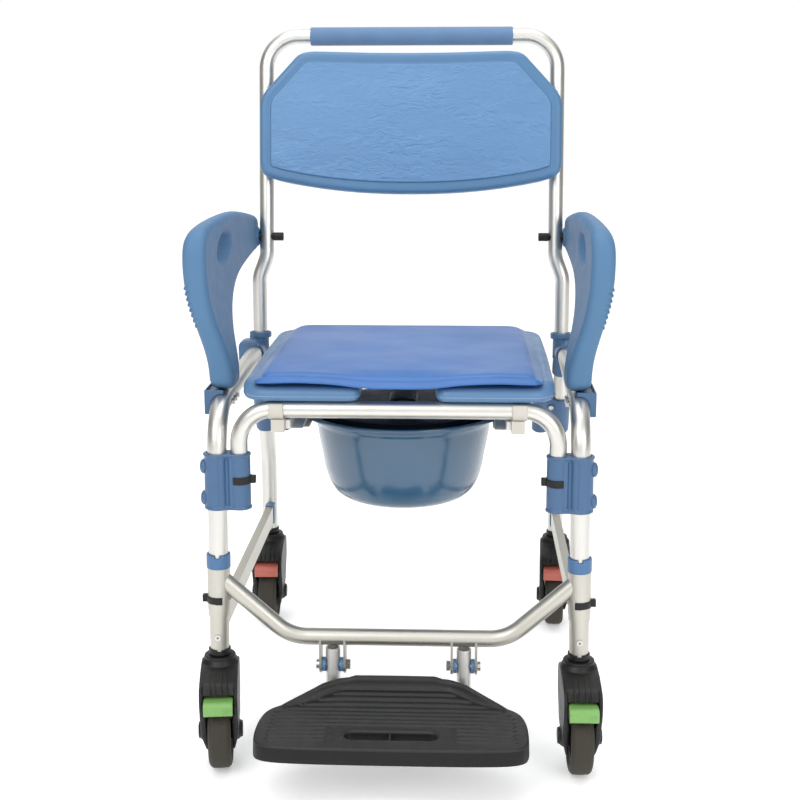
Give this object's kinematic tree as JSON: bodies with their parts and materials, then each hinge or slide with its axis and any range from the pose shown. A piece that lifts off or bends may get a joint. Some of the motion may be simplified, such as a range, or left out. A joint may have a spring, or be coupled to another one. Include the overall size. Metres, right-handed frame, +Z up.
{
  "type": "commode chair",
  "caption": "Wheeled commode chair with tube frame, padded seat over a sliding pan, flip-up armrests and footrest, push handle and braked castors.",
  "frame": {"origin": "on the floor, under the middle of the chair's overall box", "axes": "+Z up, -Y is the front of the chair (where the sitter faces and the footrest is), +X to the right of someone facing the front"},
  "size_m": [0.5432, 0.7226, 0.971],
  "materials": {
    "tube_aluminium": "satin anodised",
    "sleeve_aluminium": "matt anodised",
    "blue_plastic": "satin moulded",
    "clamp_plastic": "satin moulded",
    "armrest_plastic": "fine matt blow-moulded",
    "backrest_plastic": "wrinkle grain blow-moulded",
    "cushion_skin": "soft coated skin",
    "pan_plastic": "glossy",
    "lid_plastic": "glossy",
    "beige_plastic": "matt moulded",
    "grey_plastic": "satin moulded",
    "black_plastic": "satin moulded",
    "tread_rubber": "worn matt",
    "hub_plastic": "satin moulded",
    "pedal_green": "satin",
    "pedal_red": "satin",
    "grip_foam": "closed-cell foam",
    "screw_steel": "zinc plated"
  },
  "bodies": {
    "root": {"side_tube_left": "tube_aluminium", "side_tube_right": "tube_aluminium", "seat_loop_front": "tube_aluminium", "seat_loop_rear": "tube_aluminium", "lower_front_frame": "sleeve_aluminium", "lower_leg_left": "sleeve_aluminium", "lower_leg_right": "sleeve_aluminium", "rear_leg_left": "tube_aluminium", "rear_leg_right": "tube_aluminium", "back_loop": "tube_aluminium", "strut_left": "sleeve_aluminium", "strut_right": "sleeve_aluminium", "strut_end_caps": "blue_plastic", "leg_collars": "blue_plastic", "front_clamp_left": "clamp_plastic", "front_clamp_right": "clamp_plastic", "rear_clamp_left": "clamp_plastic", "rear_clamp_right": "clamp_plastic", "back_joint_left": "clamp_plastic", "back_joint_right": "clamp_plastic", "frame_screws": "screw_steel", "snap_clips": "black_plastic", "seat_rail_left": "beige_plastic", "seat_rail_right": "beige_plastic", "seat_rail_clips": "beige_plastic", "pan_slides": "grey_plastic", "backrest_panel": "backrest_plastic", "backrest_screws": "screw_steel", "push_grip": "grip_foam", "arm_socket_left": "clamp_plastic", "arm_socket_right": "clamp_plastic", "arm_pivot_bolts": "black_plastic", "seat_board": "blue_plastic", "footrest_spacers": "blue_plastic", "footrest_bolts": "screw_steel", "castor_sockets": "black_plastic"},
    "arm_left": {"armrest_left": "armrest_plastic"},
    "arm_right": {"armrest_right": "armrest_plastic"},
    "cushion": {"seat_cushion": "cushion_skin"},
    "pan": {"commode_pan": "pan_plastic"},
    "lid": {"pan_lid": "lid_plastic"},
    "footrest": {"footplate": "black_plastic", "footrest_arms": "tube_aluminium"},
    "castor_front_left": {"castor_fork_front_left": "black_plastic"},
    "castor_front_right": {"castor_fork_front_right": "black_plastic"},
    "castor_rear_left": {"castor_fork_rear_left": "black_plastic"},
    "castor_rear_right": {"castor_fork_rear_right": "black_plastic"},
    "pedal_front_left": {"brake_pedal_front_left": "pedal_green"},
    "pedal_front_right": {"brake_pedal_front_right": "pedal_green"},
    "pedal_rear_left": {"brake_pedal_rear_left": "pedal_red"},
    "pedal_rear_right": {"brake_pedal_rear_right": "pedal_red"},
    "wheel_front_left": {"tyre_front_left": "tread_rubber", "wheel_hub_front_left": "hub_plastic"},
    "wheel_front_right": {"tyre_front_right": "tread_rubber", "wheel_hub_front_right": "hub_plastic"},
    "wheel_rear_left": {"tyre_rear_left": "tread_rubber", "wheel_hub_rear_left": "hub_plastic"},
    "wheel_rear_right": {"tyre_rear_right": "tread_rubber", "wheel_hub_rear_right": "hub_plastic"}
  },
  "joints": [
    {"name": "armrest_left_flip", "type": "hinge", "parent": "root", "child": "arm_left", "pos_m": [-0.25, 0.25893, 0.652], "axis": [-1, 0, 0], "range_deg": [0, 100]},
    {"name": "armrest_right_flip", "type": "hinge", "parent": "root", "child": "arm_right", "pos_m": [0.25, 0.25893, 0.652], "axis": [-1, 0, 0], "range_deg": [0, 100]},
    {"name": "footrest_flip", "type": "hinge", "parent": "root", "child": "footrest", "pos_m": [0, -0.18857, 0.13], "axis": [-1, 0, 0], "range_deg": [0, 90]},
    {"name": "cushion_lift", "type": "slide", "parent": "root", "child": "cushion", "axis": [0, 0, 1], "range_m": [0, 0.12]},
    {"name": "pan_slide", "type": "slide", "parent": "root", "child": "pan", "axis": [0, 1, 0], "range_m": [0, 0.32]},
    {"name": "lid_lift", "type": "slide", "parent": "pan", "child": "lid", "axis": [0, 0, 1], "range_m": [0, 0.02]},
    {"name": "castor_front_left_swivel", "type": "hinge", "parent": "root", "child": "castor_front_left", "pos_m": [-0.2374, -0.18857, 0.15], "axis": [0, 0, 1], "continuous": true},
    {"name": "wheel_front_left_spin", "type": "hinge", "parent": "castor_front_left", "child": "wheel_front_left", "pos_m": [-0.23338, -0.22132, 0.05], "axis": [0.9925, 0.1219, 0], "continuous": true},
    {"name": "pedal_front_left_press", "type": "hinge", "parent": "castor_front_left", "child": "pedal_front_left", "pos_m": [-0.23179, -0.23423, 0.113], "axis": [0.9925, 0.1219, 0], "range_deg": [0, 14]},
    {"name": "castor_front_right_swivel", "type": "hinge", "parent": "root", "child": "castor_front_right", "pos_m": [0.2374, -0.18857, 0.15], "axis": [0, 0, 1], "continuous": true},
    {"name": "wheel_front_right_spin", "type": "hinge", "parent": "castor_front_right", "child": "wheel_front_right", "pos_m": [0.23798, -0.22156, 0.05], "axis": [0.9998, 0.0175, 0], "continuous": true},
    {"name": "pedal_front_right_press", "type": "hinge", "parent": "castor_front_right", "child": "pedal_front_right", "pos_m": [0.2382, -0.23456, 0.113], "axis": [0.9998, 0.0175, 0], "range_deg": [0, 14]},
    {"name": "castor_rear_left_swivel", "type": "hinge", "parent": "root", "child": "castor_rear_left", "pos_m": [-0.241, 0.33543, 0.15], "axis": [0, 0, 1], "continuous": true},
    {"name": "wheel_rear_left_spin", "type": "hinge", "parent": "castor_rear_left", "child": "wheel_rear_left", "pos_m": [-0.23985, 0.30245, 0.05], "axis": [0.9994, 0.0349, 0], "continuous": true},
    {"name": "pedal_rear_left_press", "type": "hinge", "parent": "castor_rear_left", "child": "pedal_rear_left", "pos_m": [-0.23939, 0.28946, 0.113], "axis": [0.9994, 0.0349, 0], "range_deg": [0, 14]},
    {"name": "castor_rear_right_swivel", "type": "hinge", "parent": "root", "child": "castor_rear_right", "pos_m": [0.241, 0.33543, 0.15], "axis": [0, 0, 1], "continuous": true},
    {"name": "wheel_rear_right_spin", "type": "hinge", "parent": "castor_rear_right", "child": "wheel_rear_right", "pos_m": [0.23927, 0.30248, 0.05], "axis": [0.9986, -0.0523, 0], "continuous": true},
    {"name": "pedal_rear_right_press", "type": "hinge", "parent": "castor_rear_right", "child": "pedal_rear_right", "pos_m": [0.23859, 0.28949, 0.113], "axis": [0.9986, -0.0523, 0], "range_deg": [0, 14]}
  ]
}
